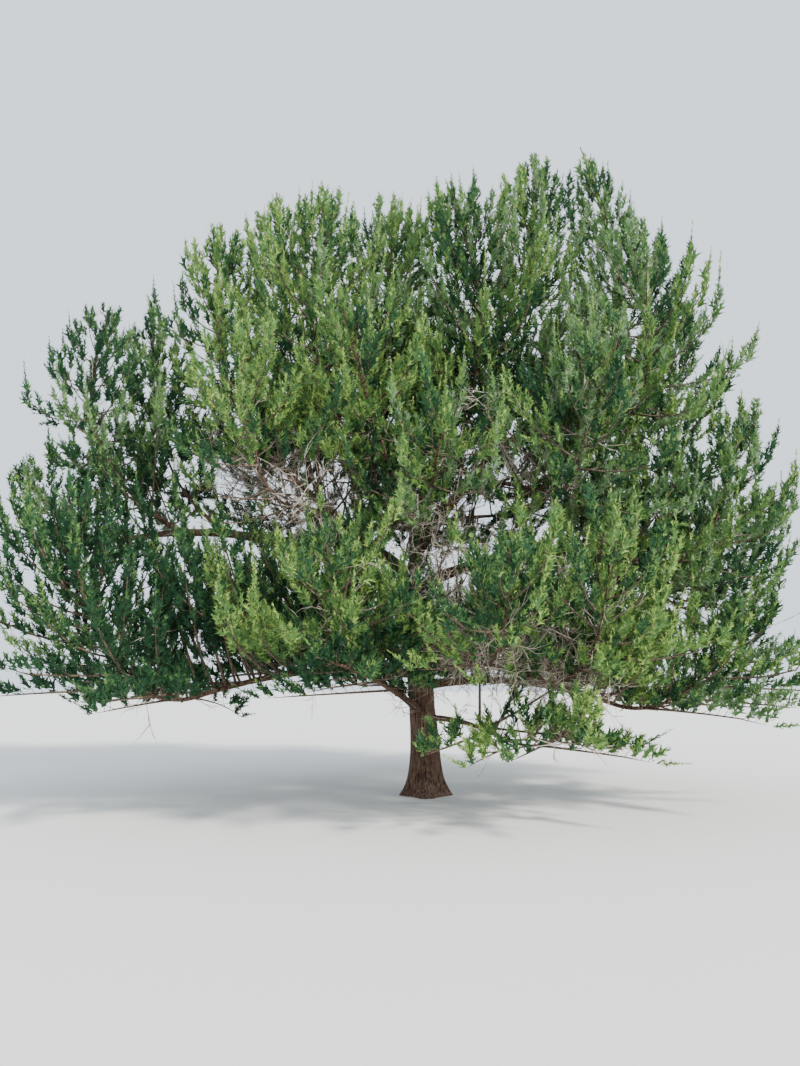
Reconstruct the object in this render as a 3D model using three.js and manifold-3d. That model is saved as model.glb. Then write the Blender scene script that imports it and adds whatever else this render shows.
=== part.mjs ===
// A southern red cedar: a short leaning trunk, its boughs, and the pointed masses of foliage of a broad
// crown. Millimetres, +Z up. The origin is the middle of the trunk's flat cut at ground level. +X is the
// viewer's right, and the viewer stands towards -Y.

import * as THREE from "three";
import { mergeVertices } from "three/addons/utils/BufferGeometryUtils.js";
import Module from "manifold-3d";

const wasm = await Module();
wasm.setup();

// Driving dimensions of the wood
const TRUNK_HEIGHT = 4950;
const TRUNK_BENDS = [
  // right and away from the plumb line, at equal steps up the trunk
  [0, 0],
  [-25, 20],
  [-95, 35],
  [-215, 10],
  [-95, 40],
  [-390, 190],
  [-600, 300],
];
const TRUNK_RADIUS = 172;
const FORK_SHARE = 0.5;
const FORK_RADIUS = 148;
const LEADER_RADIUS = 96;
const TRUNK_TIP_RADIUS = 34;
const FLARE = 120;
const FLARE_HEIGHT = 190;
const FLUTES = 4;
const FLUTE_DEPTH = 0.16;
const FLUTE_FADE = 620;
const FORK_FADE = 9;
const TRUNK_SIDES = 12;
const TRUNK_STEPS = 13;
const TRUNK_STEP_POWER = 1.5;
const BOUGH_SIDES = 5;
const BOUGH_STEPS = 4;
const SIDE_BOUGH_THICK = 85;
const BOUGH_TIP_SHARE = 0.46;
const BOUGH_TAPER = 0.85;

// Driving dimensions of the foliage
const STEM_SIDES = 4;
const STEM_STEPS = 3;
const STEM_SHARE = 0.8;
const STEM_TAPER = 0.8;
const STEM_TIP_RADIUS = 9;
const SIDE_STEM_RADIUS = 0.017;
const SIDE_BARE = 0.25;
const SIDE_LIFT = 0.35;
const KNEE_SHARE = 0.42;
const FLAME_LOW = 0.7;
const FLAME_ROUND = 0.75;
const FLAME_LEAST = 0.12;
const SPACE_BALLS = 12;
const LAST_BALL = 0.95;
const SMALLEST_BALL = 60;
const CORE_SIDES = 6;
const CORE_RINGS = 4;
const CORE_FOOT = 0.1;
const CORE_TOP = 0.9;
const CORE_LIFT = 0.3;
const CORE_NOTCH = 0.66;
const CORE_SIZES = [1, 0.85, 0.7];
const SHOOTS = 7;
const SHOOTS_ON_CORE = 6;
const SHOOTS_FROM = 0.05;
const SHOOTS_TO = 0.66;
const OTHER_TURNS = [0, 0.7, -0.7, 1.4];
const TURN = THREE.MathUtils.degToRad(137.5);
const SPREAD_LOW = 1.7;
const SPREAD_HIGH = 0.7;
const TWIST = 0.9;
const LIFT = 0.55;
const FORK_EVERY = 3;
const FORK_SPRAYS = [
  // share of the twig, and lean to its side
  [0.9, -0.45],
  [0.55, 0.45],
];
const TWIG_RADIUS = 15;
const TWIG_TIP_RADIUS = 8;
const TWIG_SHARE = 0.55;
const LONGEST_SPRAY = 1500;
const SHORTEST_SPRAY = 380;
const SPRAY_SIZES = [1, 0.9, 0.78, 0.66];
const SPRAY_HALF_WIDTH = 0.3;
const CORNER_CLAIM = 1.04;
const TIP_SPRAY_FROM = 0.95;
const TIP_HALF_WIDTH = 0.22;
const SPRAY_THICKNESS = 0.15;
const SPRAY_MIDDLE = 0.55;
const SPRAY_TEETH = [
  // share of the length and of the half width, from the tip back to the root
  [0.66, 0.2],
  [0.86, 0.68],
  [0.54, 1],
];
const REACH_STEP = 30;

// Clearances
const GAP = 0.3;
const TOUCH = 2;
const GROWN_RIM = 10;
const LOWEST_SPRAY = 120;
const WELD = 0.001;
const SEED = 20;
const SEED_STEP = 977;

// Each bough starts at a share of the trunk's or another bough's length and ends where its foliage begins.
// Its tip stands at a heading (0 is the viewer's right, 90 is away), at a reach from the origin's plumb line
// and at a height. Thick is its root's diameter, and arch is how far its middle rises, as a share of its
// length.
const BOUGHS = [
  { name: "left", at: 0.5, heading: 177, reach: 4050, height: 3300, thick: 170, arch: 0.1 },
  { name: "left_high", from: "left", at: 0.8, heading: 181, reach: 4080, height: 4050, arch: -0.08 },
  { name: "left_inner", from: "left", at: 0.62, heading: 166, reach: 3600, height: 4150, arch: -0.07 },
  { name: "left_low", at: 0.3, heading: 201, reach: 2850, height: 1250, thick: 115, arch: 0.06 },
  { name: "shoulder", at: 0.56, heading: 180, reach: 2050, height: 4350, thick: 165, arch: -0.02 },
  { name: "upper_left", from: "shoulder", at: 0.45, heading: 213, reach: 1950, height: 3500, arch: 0.04 },
  { name: "top_left", from: "shoulder", at: 0.62, heading: 161, reach: 1800, height: 4750, arch: -0.08 },
  { name: "crest_left", at: 0.8, heading: 199, reach: 1050, height: 4550, thick: 84, arch: -0.06 },
  { name: "crest_right", at: 0.84, heading: 350, reach: 380, height: 4850, thick: 84, arch: -0.06 },
  { name: "peak", at: 0.63, heading: 12, reach: 2050, height: 5200, thick: 175, arch: 0.1 },
  { name: "peak_left", from: "peak", at: 0.6, heading: 8, reach: 1250, height: 5250, arch: -0.08 },
  { name: "shoulder_right", from: "peak", at: 0.72, heading: 345, reach: 2350, height: 4650, arch: 0.03 },
  { name: "upper_right", from: "peak", at: 0.4, heading: 322, reach: 1800, height: 3650, arch: 0.03 },
  { name: "right", at: 0.52, heading: 353, reach: 2850, height: 2900, thick: 160, arch: 0.1 },
  { name: "right_far", from: "right", at: 0.66, heading: 10, reach: 3550, height: 2450, arch: 0.03 },
  { name: "slope", from: "right", at: 0.55, heading: 8, reach: 2600, height: 3400, arch: -0.05 },
  { name: "right_low", at: 0.27, heading: 339, reach: 2350, height: 1150, thick: 112, arch: 0.07 },
  { name: "front_right", at: 0.33, heading: 313, reach: 1800, height: 1450, thick: 100, arch: 0.05 },
  { name: "front", at: 0.37, heading: 288, reach: 1450, height: 1650, thick: 96, arch: 0.06 },
  { name: "front_left", at: 0.41, heading: 241, reach: 1450, height: 1850, thick: 98, arch: 0.05 },
  { name: "front_low", at: 0.19, heading: 309, reach: 1250, height: 800, thick: 84, arch: 0.05 },
  { name: "back", at: 0.6, heading: 96, reach: 1650, height: 4050, thick: 155, arch: 0.02 },
  { name: "back_left", from: "back", at: 0.5, heading: 135, reach: 2500, height: 3850, arch: 0.02 },
  { name: "back_right", from: "back", at: 0.58, heading: 52, reach: 2300, height: 3950, arch: 0.02 },
  { name: "back_low_left", at: 0.39, heading: 132, reach: 2350, height: 1600, thick: 108, arch: 0.06 },
  { name: "back_low_right", at: 0.43, heading: 45, reach: 2350, height: 1700, thick: 108, arch: 0.06 },
  { name: "back_low", at: 0.35, heading: 90, reach: 1850, height: 1450, thick: 100, arch: 0.05 },
];

// Each mass starts at the tip of the bough of its name or of the one it is on, or at a share of the trunk.
// Its point is given as a bough's tip is. Width is the greatest radius of its space, and full is its core's
// share of the space. Open masses have no core.
const MASSES = [
  { name: "left_far", on: "left", heading: 177, reach: 5650, height: 4380, width: 950, tone: "deep" },
  { name: "left_high", heading: 177, reach: 4450, height: 6650, width: 950, tone: "deep" },
  { name: "left_inner", heading: 164, reach: 4350, height: 7150, width: 900, tone: "deep" },
  { name: "left_low", heading: 197, reach: 4450, height: 3250, width: 1150, tone: "deep", full: 0.42 },
  { name: "shoulder", heading: 188, reach: 2800, height: 7600, width: 1150, tone: "sunny" },
  { name: "upper_left", heading: 222, reach: 2800, height: 5450, width: 1250, tone: "sunny" },
  { name: "top_left", heading: 156, reach: 2500, height: 9000, width: 1100, tone: "sunny" },
  { name: "crest_left", heading: 212, reach: 1500, height: 7700, width: 1200, tone: "sunny" },
  { name: "crest", on: "trunk", heading: 114, reach: 880, height: 8500, width: 1100, tone: "green" },
  { name: "crest_right", heading: 305, reach: 620, height: 7970, width: 1150, tone: "green" },
  { name: "peak_left", heading: 350, reach: 1620, height: 8700, width: 900, tone: "dull" },
  { name: "peak_right", on: "peak", heading: 9, reach: 2420, height: 9330, width: 850, tone: "dull" },
  { name: "shoulder_right", heading: 346, reach: 2760, height: 7250, width: 1100, tone: "dull" },
  { name: "upper_right", heading: 311, reach: 2750, height: 5300, width: 1350, tone: "dull", full: 0.4 },
  { name: "slope", heading: 13, reach: 3850, height: 7000, width: 1250, tone: "green" },
  { name: "right_high", on: "right", heading: 352, reach: 4100, height: 4750, width: 1250, tone: "green" },
  { name: "right_far", heading: 6, reach: 4900, height: 4000, width: 900, tone: "green" },
  { name: "right_low", heading: 341, reach: 3950, height: 2250, width: 1050, tone: "green" },
  { name: "front_right", heading: 301, reach: 3350, height: 3050, width: 1350, tone: "bright", full: 0.42 },
  { name: "front", heading: 281, reach: 3450, height: 2600, width: 1200, tone: "bright", full: 0.42 },
  { name: "front_left", heading: 251, reach: 3200, height: 2950, width: 1300, tone: "bright", full: 0.4 },
  { name: "front_low", heading: 295, reach: 3300, height: 1250, width: 1150, tone: "sunny" },
  { name: "front_low_left", at: 0.2, heading: 250, reach: 3200, height: 1650, width: 1200, tone: "deep" },
  { name: "front_middle", at: 0.6, heading: 273, reach: 2600, height: 4200, width: 1250, tone: "green" },
  { name: "upper_middle", at: 0.76, heading: 246, reach: 2350, height: 5500, width: 1250, tone: "sunny" },
  { name: "back_high", at: 0.9, heading: 88, reach: 2100, height: 7400, width: 1350, tone: "green" },
  { name: "back_middle", on: "back", heading: 93, reach: 3300, height: 6000, width: 1400, tone: "green" },
  { name: "back_left", heading: 139, reach: 3900, height: 6000, width: 1400, tone: "deep" },
  { name: "back_right", heading: 48, reach: 3700, height: 6100, width: 1400, tone: "green" },
  { name: "back_low_left", heading: 133, reach: 4250, height: 3350, width: 1450, tone: "deep", full: 0.4 },
  { name: "back_low_right", heading: 43, reach: 4250, height: 3400, width: 1450, tone: "green", full: 0.4 },
  { name: "back_low", heading: 89, reach: 4050, height: 3000, width: 1400, tone: "deep" },
];

const FINISHES = {
  bark: new THREE.MeshStandardMaterial({ color: 0x5a4535, roughness: 0.95, metalness: 0 }),
  deep: new THREE.MeshStandardMaterial({ color: 0x35523a, roughness: 0.85, metalness: 0 }),
  green: new THREE.MeshStandardMaterial({ color: 0x4b6a35, roughness: 0.85, metalness: 0 }),
  sunny: new THREE.MeshStandardMaterial({ color: 0x5d7c36, roughness: 0.85, metalness: 0 }),
  bright: new THREE.MeshStandardMaterial({ color: 0x74933c, roughness: 0.85, metalness: 0 }),
  dull: new THREE.MeshStandardMaterial({ color: 0x56694a, roughness: 0.85, metalness: 0 }),
};

const UP = new THREE.Vector3(0, 0, 1);

/** A seeded source of numbers from 0 to 1, so that the same tree grows each time. */
function seededNumbers(seed) {
  let state = seed;
  return () => {
    state = (Math.imul(state, 1664525) + 1013904223) >>> 0;
    return state / 4294967296;
  };
}

/** The point at a heading in degrees, a reach from the plumb line and a height. */
function pointAt({ heading, reach, height }) {
  const angle = THREE.MathUtils.degToRad(heading);
  return new THREE.Vector3(reach * Math.cos(angle), reach * Math.sin(angle), height);
}

/** A closed geometry as a solid that can be joined and cut. */
function solidFrom(geometry) {
  geometry.deleteAttribute("normal");
  geometry.deleteAttribute("uv");
  const merged = mergeVertices(geometry, WELD);
  return new wasm.Manifold(
    new wasm.Mesh({
      numProp: 3,
      vertProperties: merged.attributes.position.array,
      triVerts: new Uint32Array(merged.index.array),
    }),
  );
}

/** The solid as a geometry with flat faces. */
function geometryFrom(solid) {
  const mesh = solid.getMesh();
  const geometry = new THREE.BufferGeometry();
  geometry.setAttribute("position", new THREE.BufferAttribute(mesh.vertProperties, 3));
  geometry.setIndex(new THREE.BufferAttribute(mesh.triVerts, 1));
  geometry.computeVertexNormals();
  return geometry;
}

/** The solid's largest shell. Loose scraps are dropped, and so is the wall of a sealed hollow. */
function largestShell(solid) {
  const shells = solid.decompose();
  return shells.reduce((best, shell) => (shell.volume() > best.volume() ? shell : best));
}

/** Moves each vertex of a geometry to where the rule puts it. */
function reshape(geometry, rule) {
  const position = geometry.attributes.position;
  for (let index = 0; index < position.count; index += 1) {
    const moved = rule(new THREE.Vector3().fromBufferAttribute(position, index), index);
    position.setXYZ(index, moved.x, moved.y, moved.z);
  }
  return geometry;
}

/** The directions along and across a line at a share of its length. The two across it never twist. */
function frameAt(line, share) {
  const along = line.getTangentAt(share);
  const chord = line.getPoint(1).sub(line.getPoint(0));
  const level = new THREE.Vector3(-chord.y, chord.x, 0);
  const side = level.addScaledVector(along, -level.dot(along)).normalize();
  const out = new THREE.Vector3().crossVectors(side, along);
  return { along, side, out };
}

/** A tapering limb along a line: a cylinder bent onto it. Grown, it is that much larger all round. */
function limb(line, radiusAt, sides, steps, grown = 0) {
  const cylinder = new THREE.CylinderGeometry(1, 1, 1, sides, steps);
  return solidFrom(
    reshape(cylinder, (vertex) => {
      const share = vertex.y + 0.5;
      const { along, side, out } = frameAt(line, share);
      const radius = radiusAt(share) + grown;
      const endwise = share === 0 ? -grown : share === 1 ? grown : 0;
      return line
        .getPointAt(share)
        .addScaledVector(side, vertex.x * radius)
        .addScaledVector(out, vertex.z * radius)
        .addScaledVector(along, endwise);
    }),
  );
}

// The trunk

const trunkLine = new THREE.CatmullRomCurve3(
  TRUNK_BENDS.map(([right, away], step) => {
    return new THREE.Vector3(right, away, (TRUNK_HEIGHT * step) / (TRUNK_BENDS.length - 1));
  }),
  false,
  "catmullrom",
);

/** The trunk's radius at a share of its height, without its root flare. */
function trunkRadius(share) {
  if (share < FORK_SHARE) {
    return THREE.MathUtils.lerp(TRUNK_RADIUS, FORK_RADIUS, share / FORK_SHARE);
  }
  const above = (share - FORK_SHARE) / (1 - FORK_SHARE);
  const forkSwell = (FORK_RADIUS - LEADER_RADIUS) * Math.exp(-above * FORK_FADE);
  return THREE.MathUtils.lerp(LEADER_RADIUS, TRUNK_TIP_RADIUS, above) + forkSwell;
}

/** The trunk in level slices, from the flat cut at the ground to its tip among the foliage. */
function trunkSolid(grown = 0) {
  const cylinder = new THREE.CylinderGeometry(1, 1, 1, TRUNK_SIDES, TRUNK_STEPS);
  return solidFrom(
    reshape(cylinder, (vertex) => {
      const share = (vertex.y + 0.5) ** TRUNK_STEP_POWER;
      const height = share * TRUNK_HEIGHT;
      const angle = Math.atan2(vertex.x, vertex.z);
      const flutes = 1 + FLUTE_DEPTH * Math.exp(-height / FLUTE_FADE) * Math.cos(FLUTES * angle);
      const radius = (trunkRadius(share) + FLARE * Math.exp(-height / FLARE_HEIGHT)) * flutes + grown;
      const centre = trunkLine.getPoint(share);
      return new THREE.Vector3(centre.x + vertex.z * radius, centre.y + vertex.x * radius, height);
    }),
  );
}

// The boughs

/** A line from start to tip whose middle lies off the chord by a share of its length, up or down. */
function archedLine(start, tip, arch) {
  const middle = start.clone().lerp(tip, 0.5);
  middle.z += 2 * arch * start.distanceTo(tip);
  return new THREE.QuadraticBezierCurve3(start, middle, tip);
}

const limbs = new Map();
limbs.set("trunk", {
  name: "trunk",
  solid: trunkSolid(),
  grown: trunkSolid(GAP),
  pointAlong: (share) => trunkLine.getPoint(share),
  end: { point: trunkLine.getPoint(1), along: UP, radius: TRUNK_TIP_RADIUS },
});

for (const { name, from = "trunk", at, thick = SIDE_BOUGH_THICK, arch, ...tip } of BOUGHS) {
  const line = archedLine(limbs.get(from).pointAlong(at), pointAt(tip), arch);
  const rootRadius = thick / 2;
  const tipRadius = rootRadius * BOUGH_TIP_SHARE;
  const radiusAt = (share) => THREE.MathUtils.lerp(rootRadius, tipRadius, share ** BOUGH_TAPER);
  let solid = limb(line, radiusAt, BOUGH_SIDES, BOUGH_STEPS);
  for (const earlier of limbs.values()) {
    solid = solid.subtract(earlier.grown);
  }
  limbs.set(name, {
    name: `bough_${name}`,
    solid: largestShell(solid),
    grown: limb(line, radiusAt, BOUGH_SIDES, BOUGH_STEPS, GAP),
    pointAlong: (share) => line.getPointAt(share),
    end: { point: line.getPointAt(1), along: line.getTangentAt(1), radius: tipRadius },
  });
}

// The spaces of the foliage masses

/** The radius of a mass's space at a share of its length: a flame, widest below its middle. */
function flameRadius(mass, share) {
  const leafy = Math.max(0, (share - mass.bare) / (1 - mass.bare));
  const swell = Math.sin(Math.PI * leafy ** FLAME_LOW) ** FLAME_ROUND;
  return mass.width * Math.max(FLAME_LEAST, swell);
}

/** The share of a mass's line that lies at a share of its leafy stretch. */
function leafyShare(mass, share) {
  return mass.bare + (1 - mass.bare) * share;
}

/** How far a point is from a mass's line, as a share of the space's radius there: under 1 is inside. */
function claim(mass, point) {
  let least = Infinity;
  for (const { centre, radius } of mass.balls) {
    least = Math.min(least, centre.distanceTo(point) / radius);
  }
  return least;
}

/** Whether a mass may grow at a point: inside its space, nearer to it than to any other, off the ground. */
function ownsPoint(mass, point) {
  const own = claim(mass, point);
  if (own >= 1 || point.z < LOWEST_SPRAY) {
    return false;
  }
  return masses.every((other) => other === mass || claim(other, point) > own);
}

const masses = MASSES.map((row, index) => {
  const { name, on = name, at, width, tone, full = 0, ...place } = row;
  const onSide = at !== undefined;
  const bare = onSide ? SIDE_BARE : 0;
  const carrier = limbs.get(onSide ? "trunk" : on);
  const { end } = carrier;
  const start = onSide ? carrier.pointAlong(at) : end.point.clone().addScaledVector(end.along, GAP);
  const tip = pointAt(place);
  const length = start.distanceTo(tip);
  const outward = tip.clone().sub(start).setZ(0).normalize();
  const lead = onSide ? outward.addScaledVector(UP, SIDE_LIFT).normalize() : end.along;
  const knee = start.clone().addScaledVector(lead, length * KNEE_SHARE);
  const line = new THREE.QuadraticBezierCurve3(start, knee, tip);
  const rootRadius = onSide ? SIDE_STEM_RADIUS * length : end.radius;
  const mass = { name: `foliage_${name}`, index, line, width, full, tone, bare, rootRadius, onSide };
  const stemKnee = start.clone().lerp(knee, STEM_SHARE);
  mass.stemLine = new THREE.QuadraticBezierCurve3(start, stemKnee, line.getPoint(STEM_SHARE));
  mass.stemShare = mass.stemLine.getLength() / line.getLength();
  mass.balls = Array.from({ length: SPACE_BALLS }, (_, step) => {
    const share = leafyShare(mass, (LAST_BALL * (step + 1)) / SPACE_BALLS);
    const radius = Math.min(flameRadius(mass, share), (1 - share) * length);
    return { centre: line.getPointAt(share), radius: Math.max(radius, SMALLEST_BALL) };
  });
  return mass;
});

// What stands in the foliage: stems, cores, twigs and sprays

/** Whether two solids' boxes lie apart. */
function boxesApart(one, other) {
  const a = one.boundingBox();
  const b = other.boundingBox();
  return [0, 1, 2].some((axis) => a.max[axis] < b.min[axis] || b.max[axis] < a.min[axis]);
}

/** Whether a solid meets none of the others. */
function isClear(solid, others) {
  return others.every((other) => boxesApart(solid, other) || solid.intersect(other).isEmpty());
}

/** All the wood, and all the foliage so far but this mass's own. */
function neighboursOf(mass) {
  const wood = [...limbs.values()].map((one) => one.solid);
  return [...wood, ...masses.filter((other) => other !== mass).map((other) => other.solid)];
}

/** How far a ray runs from a point before it leaves the mass's own space. */
function reachInside(mass, from, direction, limit) {
  let distance = 0;
  while (distance < limit) {
    const next = from.clone().addScaledVector(direction, distance + REACH_STEP);
    if (!ownsPoint(mass, next)) {
      return distance;
    }
    distance += REACH_STEP;
  }
  return limit;
}

/** The mass's stem, from its bough's tip or out of the trunk's side, to near the mass's point. */
function stemOf(mass, grown = 0) {
  const radiusAt = (share) => THREE.MathUtils.lerp(mass.rootRadius, STEM_TIP_RADIUS, share ** STEM_TAPER);
  const stem = limb(mass.stemLine, radiusAt, STEM_SIDES, STEM_STEPS, grown);
  return mass.onSide ? largestShell(stem.subtract(limbs.get("trunk").grown)) : stem;
}

/** The middle of the faceted stem at a share of the mass's line, where roots are sunk. */
function stemMiddle(mass, share) {
  const along = (share / mass.stemShare) * STEM_STEPS;
  const step = Math.floor(along);
  const lower = mass.stemLine.getPointAt(step / STEM_STEPS);
  return lower.lerp(mass.stemLine.getPointAt((step + 1) / STEM_STEPS), along - step);
}

/** The direction out from a mass's line at a turn round it. */
function outwardAt(mass, share, turn) {
  const { side, out } = frameAt(mass.line, share);
  return side.multiplyScalar(Math.cos(turn)).addScaledVector(out, Math.sin(turn));
}

/** A core smaller than the mass's space, with a notched skin: a ball bent along the mass's line. */
function coreOf(mass, size) {
  const ball = new THREE.SphereGeometry(1, CORE_SIDES, CORE_RINGS);
  const first = leafyShare(mass, CORE_FOOT);
  return reshape(ball, (vertex, index) => {
    const column = index % (CORE_SIDES + 1);
    const ring = Math.floor(index / (CORE_SIDES + 1));
    const atPole = ring === 0 || ring === CORE_RINGS;
    const standsOut = (column + ring) % 2 === 0;
    const lifted = standsOut && !atPole ? CORE_LIFT : 0;
    const share = THREE.MathUtils.lerp(CORE_TOP, first, (ring - lifted) / CORE_RINGS);
    const centre = mass.line.getPointAt(share);
    if (atPole) {
      return centre;
    }
    const outward = outwardAt(mass, share, Math.PI - ((column % CORE_SIDES) / CORE_SIDES) * 2 * Math.PI);
    const room = reachInside(mass, centre, outward, flameRadius(mass, share));
    return centre.addScaledVector(outward, room * size * (standsOut ? 1 : CORE_NOTCH));
  });
}

/** A straight three-sided twig. */
function twig(root, tip, grown = 0) {
  const line = new THREE.LineCurve3(root, tip);
  return limb(line, (share) => THREE.MathUtils.lerp(TWIG_RADIUS, TWIG_TIP_RADIUS, share), 3, 1, grown);
}

/**
 * A spray of needles: a toothed blade, thickest in its middle. It is a ball of two rows pressed flat, with
 * its rim drawn out to the teeth. The root point lies sunk in what carries it.
 */
function spray(root, tip, across, halfWidth, grown = 0) {
  const along = tip.clone().sub(root);
  const length = along.length();
  along.divideScalar(length);
  const flat = across.clone().addScaledVector(along, -across.dot(along)).normalize();
  const normal = new THREE.Vector3().crossVectors(along, flat);
  const right = SPRAY_TEETH.map(([share, wide]) => [share, -wide]).reverse();
  const rim = [[1, 0], ...SPRAY_TEETH, [0, 0], ...right];
  const stretch = 1 + (grown * GROWN_RIM) / length;
  const ball = new THREE.SphereGeometry(1, rim.length, 2);
  return reshape(ball, (vertex, index) => {
    const row = Math.floor(index / (rim.length + 1));
    if (row !== 1) {
      const lift = (row === 0 ? 1 : -1) * ((SPRAY_THICKNESS * length) / 2 + grown);
      return root.clone().addScaledVector(along, SPRAY_MIDDLE * length).addScaledVector(normal, lift);
    }
    const [share, wide] = rim[(index % (rim.length + 1)) % rim.length];
    const distance = (SPRAY_MIDDLE + (share - SPRAY_MIDDLE) * stretch) * length;
    return root.clone().addScaledVector(along, distance).addScaledVector(flat, wide * halfWidth * stretch);
  });
}

/** Adds a spray that runs from its root to the edge of the mass's space. Says whether it found room. */
function addSpray(mass, root, direction, across, longest) {
  const length = reachInside(mass, root, direction, longest);
  for (const size of SPRAY_SIZES) {
    const tip = root.clone().addScaledVector(direction, length * size);
    const halfWidth = length * size * SPRAY_HALF_WIDTH;
    if (length * size < SHORTEST_SPRAY) {
      return false;
    }
    const blade = spray(root, tip, across, halfWidth);
    const corners = Array.from({ length: blade.attributes.position.count }, (_, index) => {
      return new THREE.Vector3().fromBufferAttribute(blade.attributes.position, index);
    });
    const inside = corners.every((corner) => corner.z > LOWEST_SPRAY && claim(mass, corner) < CORNER_CLAIM);
    if (inside && isClear(solidFrom(spray(root, tip, across, halfWidth, TOUCH)), mass.neighbours)) {
      mass.solid = mass.solid.add(solidFrom(blade));
      return true;
    }
  }
  return false;
}

/** Grows a shoot at a height and a turn round the stem: one spray, or a twig with two. */
function growShoot(mass, height, turn, forked, twist) {
  const share = leafyShare(mass, THREE.MathUtils.lerp(SHOOTS_FROM, SHOOTS_TO, height));
  const root = stemMiddle(mass, share);
  const outward = outwardAt(mass, share, turn);
  const spread = THREE.MathUtils.lerp(SPREAD_LOW, SPREAD_HIGH, height);
  const direction = mass.line
    .getTangentAt(share)
    .addScaledVector(outward, spread)
    .addScaledVector(UP, LIFT)
    .normalize();
  const level = new THREE.Vector3().crossVectors(direction, outward).normalize();
  const across = level.addScaledVector(outward, twist);
  if (!forked) {
    return addSpray(mass, root, direction, across, LONGEST_SPRAY);
  }
  const reach = reachInside(mass, root, direction, LONGEST_SPRAY);
  const end = root.clone().addScaledVector(direction, reach * TWIG_SHARE);
  if (reach < SHORTEST_SPRAY || !isClear(twig(root, end, TOUCH), mass.neighbours)) {
    return false;
  }
  mass.solid = mass.solid.add(twig(root, end));
  for (const [place, lean] of FORK_SPRAYS) {
    const way = direction.clone().addScaledVector(across, lean).addScaledVector(UP, LIFT).normalize();
    addSpray(mass, root.clone().lerp(end, place), way, across, LONGEST_SPRAY);
  }
  return true;
}

/** Grows a mass's point, then its shoots up and round the stem. One without room tries other turns. */
function growFoliage(mass) {
  const random = seededNumbers(SEED + SEED_STEP * mass.index);
  const root = stemMiddle(mass, mass.stemShare * TIP_SPRAY_FROM);
  const tip = mass.line.getPointAt(1);
  const halfWidth = root.distanceTo(tip) * TIP_HALF_WIDTH;
  mass.solid = mass.solid.add(solidFrom(spray(root, tip, outwardAt(mass, STEM_SHARE, 0), halfWidth)));
  const shoots = mass.full > 0 ? SHOOTS_ON_CORE : SHOOTS;
  let turn = random() * 2 * Math.PI;
  for (let shoot = 0; shoot < shoots; shoot += 1) {
    turn += TURN;
    const forked = shoot % FORK_EVERY === 1;
    const twist = (random() - 0.5) * TWIST;
    OTHER_TURNS.some((other) => growShoot(mass, shoot / (shoots - 1), turn + other, forked, twist));
  }
}

for (const mass of masses) {
  mass.solid = stemOf(mass);
}
const stems = masses.map((mass) => ({ mass, solid: mass.solid, grown: stemOf(mass, GAP) }));
const wood = [...limbs.values(), ...stems];
for (const mass of masses.filter(({ full }) => full > 0)) {
  const others = masses.filter((other) => other !== mass).map((other) => other.solid);
  for (const size of CORE_SIZES) {
    let core = solidFrom(coreOf(mass, mass.full * size));
    for (const one of wood.filter((part) => part.mass !== mass && !isClear(core, [part.solid]))) {
      core = core.subtract(one.grown);
    }
    if (isClear(core, others)) {
      mass.solid = mass.solid.add(largestShell(core));
      break;
    }
  }
}
for (const mass of masses) {
  mass.neighbours = neighboursOf(mass);
  growFoliage(mass);
  mass.solid = largestShell(mass.solid);
}

// The tree

const tree = new THREE.Group();
tree.name = "cedar_tree";

function addNode(name, solid, finish) {
  const mesh = new THREE.Mesh(geometryFrom(solid), finish);
  mesh.name = name;
  tree.add(mesh);
}

for (const limbHere of limbs.values()) {
  addNode(limbHere.name, limbHere.solid, FINISHES.bark);
}
for (const mass of masses) {
  addNode(mass.name, mass.solid, FINISHES[mass.tone]);
}

export default tree;
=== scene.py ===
import math

import bmesh
import bpy
import numpy as np
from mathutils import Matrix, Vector, noise


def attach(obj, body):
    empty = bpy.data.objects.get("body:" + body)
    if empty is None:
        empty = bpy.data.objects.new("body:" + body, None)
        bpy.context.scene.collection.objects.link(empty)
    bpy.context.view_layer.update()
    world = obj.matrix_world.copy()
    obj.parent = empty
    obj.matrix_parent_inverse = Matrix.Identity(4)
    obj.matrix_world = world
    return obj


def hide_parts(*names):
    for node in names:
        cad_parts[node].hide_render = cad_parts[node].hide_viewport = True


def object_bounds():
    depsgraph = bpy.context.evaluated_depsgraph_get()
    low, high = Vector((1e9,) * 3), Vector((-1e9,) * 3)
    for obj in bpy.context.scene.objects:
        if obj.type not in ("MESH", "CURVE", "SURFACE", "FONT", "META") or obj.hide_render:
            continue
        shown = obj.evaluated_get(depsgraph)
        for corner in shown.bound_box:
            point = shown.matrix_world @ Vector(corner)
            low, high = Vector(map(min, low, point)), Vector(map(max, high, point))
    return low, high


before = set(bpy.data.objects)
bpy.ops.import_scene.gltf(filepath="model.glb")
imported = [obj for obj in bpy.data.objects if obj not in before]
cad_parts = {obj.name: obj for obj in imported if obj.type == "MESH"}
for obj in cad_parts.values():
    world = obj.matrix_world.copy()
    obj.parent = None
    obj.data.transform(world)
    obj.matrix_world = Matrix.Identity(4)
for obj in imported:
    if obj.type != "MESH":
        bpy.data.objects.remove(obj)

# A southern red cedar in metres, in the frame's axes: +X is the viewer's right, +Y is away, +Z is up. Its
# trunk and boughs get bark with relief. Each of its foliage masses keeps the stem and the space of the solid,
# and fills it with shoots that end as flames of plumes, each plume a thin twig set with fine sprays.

CAD_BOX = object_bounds()


def add_object(name, data):
    """An object at the world's origin, put into the scene."""
    made = bpy.data.objects.new(name, data)
    bpy.context.scene.collection.objects.link(made)
    return made


# The camera: a phone held at eye height, tipped up a little
EYE = (-0.33, -10.5, 1.5)
TIPPED_UP = math.radians(10)
FOCAL_PIXELS = 800
FRAME_HEIGHT_PIXELS = 1066
SENSOR = 36

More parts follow.
